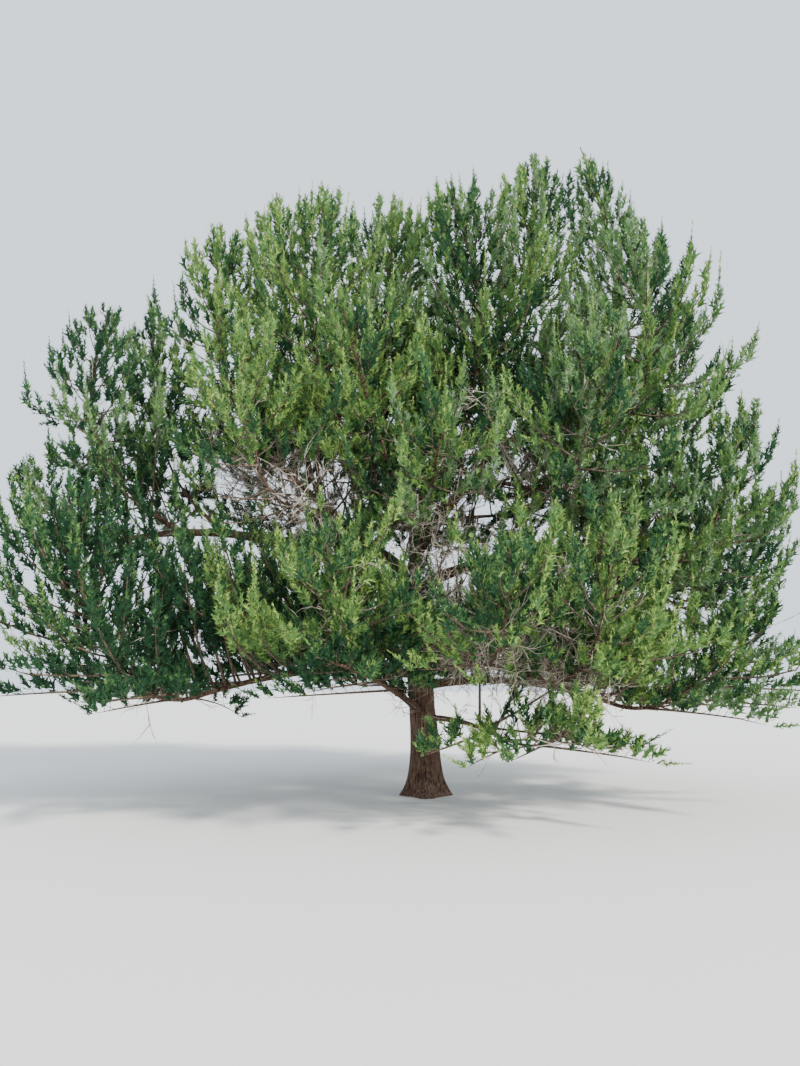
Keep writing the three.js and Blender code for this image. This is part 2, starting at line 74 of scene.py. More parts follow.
camera = bpy.data.cameras.new("eye")
camera.sensor_width = SENSOR
camera.lens = SENSOR * FOCAL_PIXELS / FRAME_HEIGHT_PIXELS
camera_object = add_object("eye", camera)
camera_object.location = EYE
camera_object.rotation_euler = (math.pi / 2 + TIPPED_UP, 0, 0)
bpy.context.scene.camera = camera_object

# The trunk
TRUNK_HEIGHT = 4.95
TRUNK_BENDS = [
    # right and away from the plumb line, at equal steps up the trunk
    (0, 0), (-0.025, 0.02), (-0.095, 0.035), (-0.215, 0.01), (-0.095, 0.04), (-0.39, 0.19), (-0.6, 0.3),
]
TRUNK_RADIUS = 0.172
FORK_SHARE = 0.5
FORK_RADIUS = 0.148
FORK_FADE = 9
LEADER_RADIUS = 0.096
TRUNK_TIP_RADIUS = 0.034
FLARE = 0.12
FLARE_HEIGHT = 0.19
FLUTES = 4
FLUTE_DEPTH = 0.16
FLUTE_FADE = 0.62

# The boughs: each starts at a share of the trunk's or another bough's length. Its tip stands at a heading (0
# is right, 90 is away), at a reach from the plumb line and at a height. Thick is its root's diameter, arch is
# how far its middle rises, as a share of its length, and fill is how far its shoots fill the crown.
SIDE_BOUGH_THICK = 0.085
BOUGH_TIP_SHARE = 0.46
BOUGH_TAPER = 0.85
BOUGHS = [
    dict(name="left", at=0.5, heading=177, reach=4.05, height=3.3, thick=0.17, arch=0.1),
    dict(name="left_high", of="left", at=0.8, heading=181, reach=4.08, height=4.05, arch=-0.08),
    dict(name="left_inner", of="left", at=0.62, heading=166, reach=3.6, height=4.15, arch=-0.07),
    dict(name="left_low", at=0.3, heading=201, reach=2.85, height=1.25, thick=0.115, arch=0.06, fill=1.9),
    dict(name="shoulder", at=0.56, heading=180, reach=2.05, height=4.35, thick=0.165, arch=-0.02),
    dict(name="upper_left", of="shoulder", at=0.45, heading=213, reach=1.95, height=3.5, arch=0.04),
    dict(name="top_left", of="shoulder", at=0.62, heading=161, reach=1.8, height=4.75, arch=-0.08),
    dict(name="crest_left", at=0.8, heading=199, reach=1.05, height=4.55, thick=0.084, arch=-0.06),
    dict(name="crest_right", at=0.84, heading=350, reach=0.38, height=4.85, thick=0.084, arch=-0.06),
    dict(name="peak", at=0.63, heading=12, reach=2.05, height=5.2, thick=0.175, arch=0.1),
    dict(name="peak_left", of="peak", at=0.6, heading=8, reach=1.25, height=5.25, arch=-0.08),
    dict(name="shoulder_right", of="peak", at=0.72, heading=345, reach=2.35, height=4.65, arch=0.03),
    dict(name="upper_right", of="peak", at=0.4, heading=322, reach=1.8, height=3.65, arch=0.03),
    dict(name="right", at=0.52, heading=353, reach=2.85, height=2.9, thick=0.16, arch=0.1),
    dict(name="right_far", of="right", at=0.66, heading=10, reach=3.55, height=2.45, arch=0.03),
    dict(name="slope", of="right", at=0.55, heading=8, reach=2.6, height=3.4, arch=-0.05),
    dict(name="right_low", at=0.27, heading=339, reach=2.35, height=1.15, thick=0.112, arch=0.07, fill=1.8),
    dict(name="front_right", at=0.33, heading=313, reach=1.8, height=1.45, thick=0.1, arch=0.05, fill=1.6),
    dict(name="front", at=0.37, heading=288, reach=1.45, height=1.65, thick=0.096, arch=0.06),
    dict(name="front_left", at=0.41, heading=241, reach=1.45, height=1.85, thick=0.098, arch=0.05, fill=1.6),
    dict(name="front_low", at=0.19, heading=309, reach=1.25, height=0.8, thick=0.084, arch=0.05, fill=1.8),
    dict(name="back", at=0.6, heading=96, reach=1.65, height=4.05, thick=0.155, arch=0.02),
    dict(name="back_left", of="back", at=0.5, heading=135, reach=2.5, height=3.85, arch=0.02),
    dict(name="back_right", of="back", at=0.58, heading=52, reach=2.3, height=3.95, arch=0.02),
    dict(name="back_low_left", at=0.39, heading=132, reach=2.35, height=1.6, thick=0.108, arch=0.06),
    dict(name="back_low_right", at=0.43, heading=45, reach=2.35, height=1.7, thick=0.108, arch=0.06),
    dict(name="back_low", at=0.35, heading=90, reach=1.85, height=1.45, thick=0.1, arch=0.05),
]

# The foliage masses: each starts at the tip of the bough of its name or of the one it is on, or at a share
# of the trunk, and ends in a point. Width is the greatest radius of its space, and tone its mix of tints, set
# by how the light falls: deep is painted shade on the left, low and back masses, and sunny and bright are
# painted sunlight at the upper left and the front.
MASSES = [
    dict(name="left_far", on="left", heading=177, reach=5.65, height=4.38, width=0.95, tone="deep"),
    dict(name="left_high", heading=177, reach=4.45, height=6.65, width=0.95, tone="deep"),
    dict(name="left_inner", heading=164, reach=4.35, height=7.15, width=0.9, tone="deep"),
    dict(name="left_low", heading=197, reach=4.45, height=3.25, width=1.15, tone="deep"),
    dict(name="shoulder", heading=188, reach=2.8, height=7.6, width=1.15, tone="sunny"),
    dict(name="upper_left", heading=222, reach=2.8, height=5.45, width=1.25, tone="sunny"),
    dict(name="top_left", heading=156, reach=2.5, height=9.0, width=1.1, tone="sunny"),
    dict(name="crest_left", heading=212, reach=1.5, height=7.7, width=1.2, tone="sunny"),
    dict(name="crest", on="trunk", heading=114, reach=0.88, height=8.5, width=1.1, tone="green"),
    dict(name="crest_right", heading=305, reach=0.62, height=7.97, width=1.15, tone="green"),
    dict(name="peak_left", heading=350, reach=1.62, height=8.7, width=0.9, tone="dull"),
    dict(name="peak_right", on="peak", heading=9, reach=2.42, height=9.33, width=0.85, tone="dull"),
    dict(name="shoulder_right", heading=346, reach=2.76, height=7.25, width=1.1, tone="dull"),
    dict(name="upper_right", heading=311, reach=2.75, height=5.3, width=1.35, tone="dull"),
    dict(name="slope", heading=13, reach=3.85, height=7.0, width=1.25, tone="green"),
    dict(name="right_high", on="right", heading=352, reach=4.1, height=4.75, width=1.25, tone="green"),
    dict(name="right_far", heading=6, reach=4.9, height=4.0, width=0.9, tone="green"),
    dict(name="right_low", heading=341, reach=3.95, height=2.25, width=1.05, tone="green"),
    dict(name="front_right", heading=301, reach=3.35, height=3.05, width=1.35, tone="bright"),
    dict(name="front", heading=281, reach=3.45, height=2.6, width=1.2, tone="bright"),
    dict(name="front_left", heading=251, reach=3.2, height=2.95, width=1.3, tone="bright"),
    dict(name="front_low", heading=295, reach=3.3, height=1.25, width=1.15, tone="sunny"),
    dict(name="front_low_left", at=0.2, heading=250, reach=3.2, height=1.65, width=1.2, tone="deep"),
    dict(name="front_middle", at=0.6, heading=273, reach=2.6, height=4.2, width=1.25, tone="green"),
    dict(name="upper_middle", at=0.76, heading=246, reach=2.35, height=5.5, width=1.25, tone="sunny"),
    dict(name="back_high", at=0.9, heading=88, reach=2.1, height=7.4, width=1.35, tone="green"),
    dict(name="back_middle", on="back", heading=93, reach=3.3, height=6.0, width=1.4, tone="green"),
    dict(name="back_left", heading=139, reach=3.9, height=6.0, width=1.4, tone="deep"),
    dict(name="back_right", heading=48, reach=3.7, height=6.1, width=1.4, tone="green"),
    dict(name="back_low_left", heading=133, reach=4.25, height=3.35, width=1.45, tone="deep"),
    dict(name="back_low_right", heading=43, reach=4.25, height=3.4, width=1.45, tone="green"),
    dict(name="back_low", heading=89, reach=4.05, height=3.0, width=1.4, tone="deep"),
]

# The masses whose gaps to the next ones stay open, how many times as many shoots the fuller masses have, and
# how many times as wide the roomier masses may grow
OPEN_MASSES = ("left_far", "left_high", "left_inner")
FULLER = {
    "left_high": 1.15, "left_inner": 1.15, "left_low": 2.0, "shoulder": 1.2, "top_left": 1.3,
    "crest_left": 1.45, "crest": 1.7, "crest_right": 1.7, "peak_left": 1.6, "peak_right": 1.3,
    "shoulder_right": 1.4, "upper_right": 1.15, "slope": 1.15, "right_high": 1.25, "right_far": 1.5,
    "right_low": 2.0, "front_low": 1.3, "back_high": 1.7,
}
ROOMIER = {
    "left_low": 1.7, "crest_left": 1.15, "crest": 1.35, "crest_right": 1.35, "peak_left": 1.25,
    "shoulder_right": 1.2, "right_far": 1.2, "right_low": 1.7, "front_low": 1.3, "front_low_left": 1.2,
    "back_high": 1.25,
}

# The stem of a mass: a side stem starts at the trunk, lifted, and is bare at first
SIDE_STEM_RADIUS = 0.017
SIDE_BARE = 0.25
SIDE_LIFT = 0.35
KNEE_SHARE = 0.42
STEM_TIP_RADIUS = 0.007
STEM_TAPER = 0.8
STEM_SIDES = 8

# The space of a mass: a flame along its stem, told as balls whose radii are shares of its width
FLAME_LOW = 0.7
FLAME_ROUND = 0.75
FLAME_LEAST = 0.12
SPACE_BALLS = 12
LAST_BALL = 0.95
SMALLEST_BALL = 0.06
LEAST_INNER_RADIUS = 0.5
POINTS_AT_ONCE = 20000

# Where foliage may grow: no lower than this, clear of the trunk's foot, and a little past the solids' box
LOWEST_SPRAY = 0.1
FOOT_RADIUS = 0.9
FOOT_HEIGHT = 1.25
PROUD = 0.08
LOWEST_CORNER, HIGHEST_CORNER = np.array(CAD_BOX)

# Places of the inner crown where twigs are dead: middle, half sizes, and the share of plumes that is gone
BARE_PLACES = [
    ((-1.7, -0.8, 3.7), (1.15, 3.2, 0.56), 0.88),
    ((0.8, -0.8, 3.6), (0.6, 2.0, 0.85), 0.75),
    ((0.08, -1.8, 2.65), (0.38, 1.5, 0.48), 0.92),
    ((1.0, -1.6, 1.4), (1.05, 2.0, 0.85), 0.6),
]
BARE_EDGES = (0.75, 1.15)

# Shoots stand round a stem at the golden angle. Low ones spread out, and high ones go on with the stem.
TURN = math.radians(137.5)
SHOOT_STEP = 0.11
FEWEST_SHOOTS = 10
SHOOTS_FROM = 0.03
SHOOTS_TO = 0.86
SPREAD_LOW = 1.7
SPREAD_HIGH = 0.6
SPREADS_VARY = (0.8, 1.2)
ONWARD_LOW = 0.2
LIFT = 0.45
SHOOT_EDGE = 1
SHOOT_OVERLAP = 0.15
SLIM_HIGH = 0.62

# A shoot takes a share of the room ahead of it, found step by step. It goes out to its knee, then up, and the
# knee of a low shoot hardly dips below its root.
LONGEST_SHOOT = 1.7
SHORTEST_SHOOT = 0.2
SHOOT_REACHES = (0.72, 0.97)
MARCH_STEP = 0.06
LOWEST_SLOPE = -0.05
SHOOT_RISE = 0.5
SHOOT_RISE_SHARE = 0.7
LOW_KNEES = 1.75
LOWEST_DIP = 0.06
LEAN_OUT = 1.1
LESS_LEAN_HIGH = 0.75
SHOOT_POINTS = 17

# Shoots on the trunk and boughs, which fill the crown to a share of the masses' spaces
LIMB_SHOOT_STEP = 0.13
LIMB_SHOOTS_FROM = 0.22
LIMB_FILL = 1.3
MOST_FILL = 1.9
LIMB_ONWARD = 0.6
LIMB_SPREADS = (0.8, 1.5)
LIMB_LIFTS = (0.25, 1.0)
BARE_MARK = 0.6

# A flame: the plumes round the outer part of a shoot. It narrows to a spire, and outer plumes are shorter.
BARE_SHOOT = 0.12
LONGEST_FLAME = 1.4
LEAST_FLAME = 0.85
FLAME_GIRTH = 0.2
GIRTHS_VARY = (0.75, 1.25)
FLAME_SWELL = 0.65
PLUME_STEP = 0.09
FEWEST_PLUMES = 4
PLUME_DEPTHS = (0.35, 1)
PLUME_FORWARD = 0.5
PLUME_ONWARD = 0.6
PLUME_FAN = 0.15
PLUME_FAN_LOW = 0.4
PLUME_LIFTS = (0.25, 0.8)
PLUME_LENGTH = 0.34
PLUME_HIGH = 0.7
PLUME_LOW = 0.45
LENGTHS_VARY = (0.75, 1.2)
SPIRE_LENGTH = 0.52
SPIRES_VARY = (0.6, 1.2)
SPIRE_LIFT = 0.5
SLIM_SPIRE = 0.62
PLUME_PARTS = (0.4, 0.6, 0.8, 1.0)
SHORTEST_PLUME = 0.12
PLUME_MARK = 0.4
PLUME_EDGE = 1.1
PLUME_OVERLAP = 0.35
BRIDGE = 1.4

# Sprays: fine ones all over a plume, and broad ones in its body, dark with painted shade
FEWEST_SPRAYS = 2
SPRAY_STEP = 0.0255
SPRAY_LENGTH = 0.096
SPRAY_REACH = 0.9
LEAN_LOW = 46
LEAN_HIGH = 12
LEAN_VARIES = 9
BODY_STEP = 0.08
BODY_LENGTH = 0.178
BODY_REACH = 0.5
BODY_LEAN = 24
SPRAY_PLACES = (0.1, 0.9)
SPRAY_ENDS = (0.01, 0.99)
SPRAY_LIFT = 0.12
SPRAY_LOW = 1.12
SPRAY_LESS_HIGH = 0.5
MOST_ROLL = 0.9
SEED = 20

# Vectors
UP = np.array([0.0, 0.0, 1.0])
LEVEL = np.array([1.0, 1.0, 0.0])
RIGHT = np.array([1.0, 0.0, 0.0])
NEAR_UPRIGHT = 1e-3
TINY = 1e-9
LINE_STEP = 0.01


class Line:
    """A smooth line through dense points, read by its share of the length."""

    def __init__(self, points):
        self.points = np.asarray(points, float)
        steps = np.linalg.norm(np.diff(self.points, axis=0), axis=1)
        self.length = steps.sum()
        self.shares = np.concatenate([[0], np.cumsum(steps)]) / self.length

    def at(self, share):
        """The point or points at a share of the length."""
        return np.stack([np.interp(share, self.shares, self.points[:, axis]) for axis in range(3)], axis=-1)

    def along(self, share):
        """The direction of the line at a share of the length."""
        share = np.asarray(share)
        return unit(self.at(np.minimum(share + LINE_STEP, 1)) - self.at(np.maximum(share - LINE_STEP, 0)))


def unit(vectors):
    """Vectors at length one."""
    return vectors / np.maximum(np.linalg.norm(vectors, axis=-1, keepdims=True), TINY)


def across_pair(along):
    """Two directions across each of the given ones, and across each other."""
    side = np.cross(along, UP)
    upright = np.linalg.norm(side, axis=-1, keepdims=True) < NEAR_UPRIGHT
    side = unit(np.where(upright, RIGHT, side))
    return side, np.cross(side, along)


def point_at(heading, reach, height):
    """The point at a heading in degrees, a reach from the plumb line and a height."""
    angle = math.radians(heading)
    return np.array([reach * math.cos(angle), reach * math.sin(angle), height])


def bezier(start, knee, tip, count=49):
    """A line with one bend, as dense points."""
    share = np.linspace(0, 1, count)[:, None]
    return Line((1 - share) ** 2 * start + 2 * share * (1 - share) * knee + share**2 * tip)


def trunk_points(steps=24):
    """The middle of the trunk as a smooth line through its bends, level by level."""
    levels = len(TRUNK_BENDS) - 1
    bends = np.array([(x, y, TRUNK_HEIGHT * level / levels) for level, (x, y) in enumerate(TRUNK_BENDS)])
    ends = np.concatenate([[2 * bends[0] - bends[1]], bends, [2 * bends[-1] - bends[-2]]])
    points = [bends[0]]
    for before, here, after, beyond in zip(ends, ends[1:], ends[2:], ends[3:]):
        for step in range(1, steps + 1):
            t = step / steps
            points.append(
                here
                + 0.5 * t * (after - before)
                + t * t * (before - 2.5 * here + 2 * after - 0.5 * beyond)
                + 0.5 * t**3 * (3 * here - before - 3 * after + beyond)
            )
    return np.array(points)


TRUNK_LEVELS = trunk_points()
TRUNK_LINE = Line(TRUNK_LEVELS)


def trunk_middle(share):
    """The middle of the trunk at a share of its height."""
    height = share * TRUNK_HEIGHT
    return np.array([np.interp(height, TRUNK_LEVELS[:, 2], TRUNK_LEVELS[:, axis]) for axis in range(3)])


def trunk_radius(share):
    """The trunk's radius at a share of its height, without its root flare."""
    if share < FORK_SHARE:
        return TRUNK_RADIUS + (FORK_RADIUS - TRUNK_RADIUS) * share / FORK_SHARE
    above = (share - FORK_SHARE) / (1 - FORK_SHARE)
    leader = LEADER_RADIUS + (TRUNK_TIP_RADIUS - LEADER_RADIUS) * above
    return leader + (FORK_RADIUS - LEADER_RADIUS) * math.exp(-above * FORK_FADE)


def lay_out_limbs():
    """The line and radii of the trunk and of each bough, by name."""
    limbs = {"trunk": dict(at=trunk_middle, tip=trunk_middle(1), along=UP, radius=TRUNK_TIP_RADIUS)}
    for row in BOUGHS:
        parent = limbs[row.get("of", "trunk")]
        start = parent["at"](row["at"])
        tip = point_at(row["heading"], row["reach"], row["height"])
        knee = (start + tip) / 2 + UP * 2 * row["arch"] * np.linalg.norm(tip - start)
        line = bezier(start, knee, tip)
        root = row.get("thick", SIDE_BOUGH_THICK) / 2
        limb = dict(at=line.at, line=line, tip=tip, along=line.along(1.0), root=root)
        limbs[row["name"]] = dict(limb, radius=root * BOUGH_TIP_SHARE)
    return limbs


LIMBS = lay_out_limbs()


# The spaces of the foliage masses


def leafy_share(mass, share):
    """The share of a mass's line that lies at a share of its leafy stretch."""
    return mass["bare"] + (1 - mass["bare"]) * share


def flame_radius(mass, share):
    """The radius of a mass's space at a share of its line: a flame, widest below its middle."""
    leafy = np.clip((share - mass["bare"]) / (1 - mass["bare"]), 0, 1)
    swell = np.sin(math.pi * leafy**FLAME_LOW) ** FLAME_ROUND
    return mass["width"] * np.maximum(FLAME_LEAST, swell)


def lay_out_masses():
    """The line, stem and space of each mass of foliage."""
    masses = []
    for index, row in enumerate(MASSES):
        on_side = "at" in row
        carrier = LIMBS["trunk" if on_side else row.get("on", row["name"])]
        tip = point_at(row["heading"], row["reach"], row["height"])
        start = carrier["at"](row["at"]) if on_side else carrier["tip"]
        length = np.linalg.norm(tip - start)
        outward = unit((tip - start) * LEVEL)
        lead = unit(outward + UP * SIDE_LIFT) if on_side else carrier["along"]
        line = bezier(start, start + lead * length * KNEE_SHARE, tip)
        mass = dict(row, index=index, line=line, bare=SIDE_BARE if on_side else 0)
        mass["root"] = SIDE_STEM_RADIUS * length if on_side else carrier["radius"]
        share = leafy_share(mass, LAST_BALL * np.arange(1, SPACE_BALLS + 1) / SPACE_BALLS)
        mass["centres"] = line.at(share)
        to_tip = (1 - share) * length
        mass["radii"] = np.maximum(np.minimum(flame_radius(mass, share), to_tip), SMALLEST_BALL)
        masses.append(mass)
    return masses


SPACES = lay_out_masses()
BALL_CENTRES = np.concatenate([mass["centres"] for mass in SPACES])
BALL_RADII = np.concatenate([mass["radii"] for mass in SPACES])
INNER_RADII = np.maximum(BALL_RADII, LEAST_INNER_RADIUS)


def claims(points, radii=BALL_RADII):
    """How far each point lies from each mass's line, as a share of its space's radius: under 1 is inside."""
    points = np.asarray(points, float).reshape(-1, 3)
    least = np.empty((len(points), len(SPACES)))
    for first in range(0, len(points), POINTS_AT_ONCE):
        some = points[first : first + POINTS_AT_ONCE]
        away = np.linalg.norm(some[:, None, :] - BALL_CENTRES[None], axis=2) / radii
        away = away.reshape(len(some), len(SPACES), SPACE_BALLS)
        least[first : first + POINTS_AT_ONCE] = away.min(axis=2)
    return least


def in_reach(points):
    """Whether each point is clear of the ground and the trunk's foot and within the reach of the solids."""
    points = np.asarray(points).reshape(-1, 3)
    inside = ((points > LOWEST_CORNER - PROUD) & (points < HIGHEST_CORNER + PROUD)).all(axis=1)
    at_foot = (np.linalg.norm(points[:, :2], axis=1) < FOOT_RADIUS) & (points[:, 2] < FOOT_HEIGHT)
    return inside & ~at_foot & (points[:, 2] > LOWEST_SPRAY)


def owned(mass, points, edge, overlap):
    """Whether a mass may grow at each point: in its space or the gap beside it, and nearest to its own."""
    all_claims = claims(points)
    own = all_claims[:, mass["index"]].copy()
    all_claims[:, mass["index"]] = np.inf
    nearest = all_claims.min(axis=1)
    bridge = 0 if mass["name"] in OPEN_MASSES else BRIDGE
    inside = (own < edge * ROOMIER.get(mass["name"], 1)) | ((own < bridge) & (nearest < bridge))
    return inside & (own < nearest + overlap) & in_reach(points)


def in_crown(points, fill):
    """Whether each point lies within a share of the space of some mass, and clear of the ground."""
    return (claims(points, INNER_RADII).min(axis=1) < fill) & in_reach(points)


def is_bare(points, random):
    """Whether what grows at each point is gone: the bare places are seen through, along the line of sight."""
    bare = np.zeros(len(points), bool)
    for middle, (wide, deep, high), gone in BARE_PLACES:
        ahead = points[:, 1] - middle[1]
        sight = (np.array(middle) - EYE) / (middle[1] - EYE[1])
        across, _, above = (points - middle - sight * ahead[:, None]).T
        away = np.sqrt((across / wide) ** 2 + (ahead / deep) ** 2 + (above / high) ** 2)
        inside = away < random.uniform(*BARE_EDGES, len(points))
        bare |= inside & (random.uniform(size=len(points)) < gone)
    return bare


# Growth


def shoot_towards(root, direction, longest, most_lean, free, random):
    """A shoot that leaves its root outward and turns upright, or None where there is no room for it."""
    direction = unit(np.array([direction[0], direction[1], max(direction[2], LOWEST_SLOPE)]))
    marks = np.arange(1, int(longest / MARCH_STEP) + 1) * MARCH_STEP
    open_marks = free(root + direction * marks[:, None])
    reach = marks[-1] if open_marks.all() else marks[np.argmin(open_marks)] - MARCH_STEP
    reach *= random.uniform(*SHOOT_REACHES)
    if reach < SHORTEST_SHOOT:
        return None
    end = root + direction * reach
    rise = unit(UP + direction * LEVEL * random.uniform(0, most_lean))
    knee = end - rise * min(SHOOT_RISE, reach * SHOOT_RISE_SHARE)
    knee[2] = max(knee[2], min(root[2], LOW_KNEES) - LOWEST_DIP)
    return dict(line=bezier(root, knee, end, SHOOT_POINTS), reach=reach, slim=1)


def grow_shoots(mass, random):
    """The shoots up and round a mass's stem, each a bent line towards the edge of the space."""

    def room(points):
        return owned(mass, points, SHOOT_EDGE, SHOOT_OVERLAP)

    line = mass["line"]
    full = FULLER.get(mass["name"], 1)
    count = max(FEWEST_SHOOTS, int(full * (1 - mass["bare"]) * line.length / SHOOT_STEP))
    shoots = []
    turn = random.uniform(0, 2 * math.pi)
    for number in range(count):
        height = number / (count - 1)
        turn += TURN
        share = leafy_share(mass, SHOOTS_FROM + (SHOOTS_TO - SHOOTS_FROM) * height)
        along = line.along(share)
        side, out = across_pair(along)
        outward = side * math.cos(turn) + out * math.sin(turn)
        spread = (SPREAD_LOW + (SPREAD_HIGH - SPREAD_LOW) * height) * random.uniform(*SPREADS_VARY)
        onward = ONWARD_LOW + (1 - ONWARD_LOW) * height
        direction = unit(along * onward + outward * spread + UP * LIFT)
        lean = LEAN_OUT * (1 - LESS_LEAN_HIGH * height)
        shoot = shoot_towards(line.at(share), direction, LONGEST_SHOOT, lean, room, random)
        if shoot:
            shoots.append(dict(shoot, slim=1 - SLIM_HIGH * height))
    return shoots


def grow_limb_shoots(line, fill, random):
    """The shoots that fill the crown round a bough or the trunk, to a share of the masses' spaces."""

    def room(points):
        return in_crown(points, fill)

    shoots = []
    turn = random.uniform(0, 2 * math.pi)
    step = LIMB_SHOOT_STEP * (LIMB_FILL / max(fill, LIMB_FILL)) ** 2
    for share in np.arange(LIMB_SHOOTS_FROM, 1, step / line.length):
        turn += TURN
        along = line.along(share)
        side, out = across_pair(along)
        outward = (side * math.cos(turn) + out * math.sin(turn)) * random.uniform(*LIMB_SPREADS)
        direction = unit(along * LIMB_ONWARD + outward + UP * random.uniform(*LIMB_LIFTS) * fill)
        longest = LONGEST_SHOOT * max(1, fill / LIMB_FILL)
        shoots.append(shoot_towards(line.at(share), direction, longest, LEAN_OUT, room, random))
    return [shoot for shoot in shoots if shoot]


def grow_plumes(shoots, free, random):
    """The plumes that make a pointed flame of the outer part of each shoot."""
    rows = []
    for flame, shoot in enumerate(shoots):
        line, slim = shoot["line"], shoot["slim"]
        leafy = min(1 - BARE_SHOOT, max(LEAST_FLAME, LONGEST_FLAME / line.length))
        count = max(FEWEST_PLUMES, int(line.length * leafy / PLUME_STEP) + 1)
        turn = random.uniform(0, 2 * math.pi)
        girth = FLAME_GIRTH * slim * random.uniform(*GIRTHS_VARY)
        for number in range(count):
            low = number / count
            foot = line.at(1 - leafy * low)
            along = line.along(1 - leafy * low)
            side, out = across_pair(along)
            turn += TURN
            fan = side * math.cos(turn) + out * math.sin(turn)
            if foot[2] < LOW_KNEES:
                fan[2] = abs(fan[2])
            away = girth * low**FLAME_SWELL * random.uniform(*PLUME_DEPTHS)
            root = foot + unit(fan + along * PLUME_FORWARD) * away
            outward = fan * (PLUME_FAN + PLUME_FAN_LOW * low) * slim
            axis = unit(along * PLUME_ONWARD + outward + UP * random.uniform(*PLUME_LIFTS))
            length = PLUME_LENGTH * (PLUME_HIGH + PLUME_LOW * low) * (1 + slim) / 2
            length *= random.uniform(*LENGTHS_VARY)
            if number == 0:
                root, axis = foot, unit(along + UP * SPIRE_LIFT)
                length = SPIRE_LENGTH * random.uniform(*SPIRES_VARY)
            rows.append((foot, root, axis, length, 1 - low, flame, 1 if number else SLIM_SPIRE))
    feet, roots, axes, lengths, outers, flames, slims = (np.array(column) for column in zip(*rows))
    fits = np.zeros(len(roots))
    fitting = np.ones(len(roots), bool)
    for part in PLUME_PARTS:
        fitting &= free(roots + axes * (lengths * part)[:, None])
        fits[fitting] = part
    keep = lengths * fits > SHORTEST_PLUME
    keep &= ~is_bare(roots + axes * lengths[:, None] * PLUME_MARK, random)
    plumes = dict(foot=feet, root=roots, axis=axes, length=lengths * fits)
    plumes.update(outer=outers, flame=flames, slim=slims)
    return {label: values[keep] for label, values in plumes.items()}


# Each spray is a slim point with three side points, one triangle each: shares of its length along, across
# and up
SPRAY_POINTS = [
    [(0.0, -0.13, 0.0), (0.0, 0.13, 0.0), (1.0, 0.0, 0.06)],
    [(0.02, 0.0, 0.0), (0.34, 0.0, 0.0), (0.6, -0.4, 0.16)],
    [(0.2, 0.0, 0.0), (0.52, 0.0, 0.0), (0.78, 0.38, -0.08)],
    [(0.42, 0.0, 0.0), (0.7, 0.0, 0.02), (0.98, -0.3, -0.1)],
]


def spray_rows(plumes, step, size, lean_low, reach, random):
    """The plume of each spray, and its root, direction, side and length: up and round the plume."""
    counts = np.maximum(FEWEST_SPRAYS, (plumes["length"] / step).astype(int))
    owner = np.repeat(np.arange(len(counts)), counts)
    number = np.concatenate([np.arange(count) for count in counts])
    share = (number + random.uniform(*SPRAY_PLACES, len(number))) / counts[owner]
    share = np.clip(share, *SPRAY_ENDS)
    turn = number * TURN + random.uniform(0, 2 * math.pi, len(counts))[owner]
    side, out = across_pair(plumes["axis"])
    radial = side[owner] * np.cos(turn)[:, None] + out[owner] * np.sin(turn)[:, None]
    lean = lean_low - (lean_low - LEAN_HIGH) * share + random.uniform(-LEAN_VARIES, LEAN_VARIES, len(share))
    lean = np.radians(lean)[:, None]
    axis = plumes["axis"][owner]
    direction = unit(axis * np.cos(lean) + radial * np.sin(lean) + UP * SPRAY_LIFT)
    length = size * plumes["slim"][owner] * (SPRAY_LOW - SPRAY_LESS_HIGH * share)
    length *= random.uniform(*LENGTHS_VARY, len(share))
    root = plumes["root"][owner] + axis * (plumes["length"][owner] * reach * share)[:, None]
    roll = random.uniform(-MOST_ROLL, MOST_ROLL, len(share))[:, None]
    flat = unit(np.cross(direction, radial))
    across = flat * np.cos(roll) + np.cross(direction, flat) * np.sin(roll)
    return owner, root, direction, across, length


def spray_mesh(root, direction, side, length):
    """Vertices and three-sided faces of many sprays."""
    shares = np.array(SPRAY_POINTS).reshape(-1, 3)
    vertices = root[:, None]
    for axis, part in enumerate((direction, side, np.cross(side, direction))):
        vertices = vertices + part[:, None] * (shares[None, :, axis] * length[:, None])[..., None]
    vertices = vertices.reshape(-1, 3)
    return vertices, np.arange(len(vertices)).reshape(-1, 3)


NO_QUADS = np.empty((0, 4), int)
TWIG_SIDES = 3
TWIG_TIP_SHARE = 0.35


def twig_mesh(lines, root_radii):
    """Vertices, four-sided and three-sided faces of many three-sided twigs, each closed and pointed."""
    lines = np.asarray(lines, float)
    count, rings = lines.shape[0], lines.shape[1] - 1
    side, out = across_pair(unit(np.gradient(lines, axis=1))[:, :rings])
    share = np.arange(rings) / rings
    radius = np.asarray(root_radii)[:, None] * (1 - (1 - TWIG_TIP_SHARE) * share)[None]
    corners = []
    for corner in range(TWIG_SIDES):
        angle = corner * 2 * math.pi / TWIG_SIDES
        outward = side * math.cos(angle) + out * math.sin(angle)
        corners.append(lines[:, :rings] + outward * radius[..., None])
    tip = rings * TWIG_SIDES
    vertices = np.concatenate([np.stack(corners, axis=2).reshape(count, tip, 3), lines[:, rings:]], axis=1)
    quads, triangles = [], [(0, 2, 1)]
    for corner in range(TWIG_SIDES):
        after = (corner + 1) % TWIG_SIDES
        for here in range(0, tip - TWIG_SIDES, TWIG_SIDES):
            quads.append((here + corner, here + after, here + TWIG_SIDES + after, here + TWIG_SIDES + corner))
        triangles.append((tip - TWIG_SIDES + corner, tip - TWIG_SIDES + after, tip))
    first = (np.arange(count) * (tip + 1))[:, None, None]
    return (
        vertices.reshape(-1, 3),
        (np.array(quads).reshape(-1, 4)[None] + first).reshape(-1, 4),
        (np.array(triangles)[None] + first).reshape(-1, 3),
    )


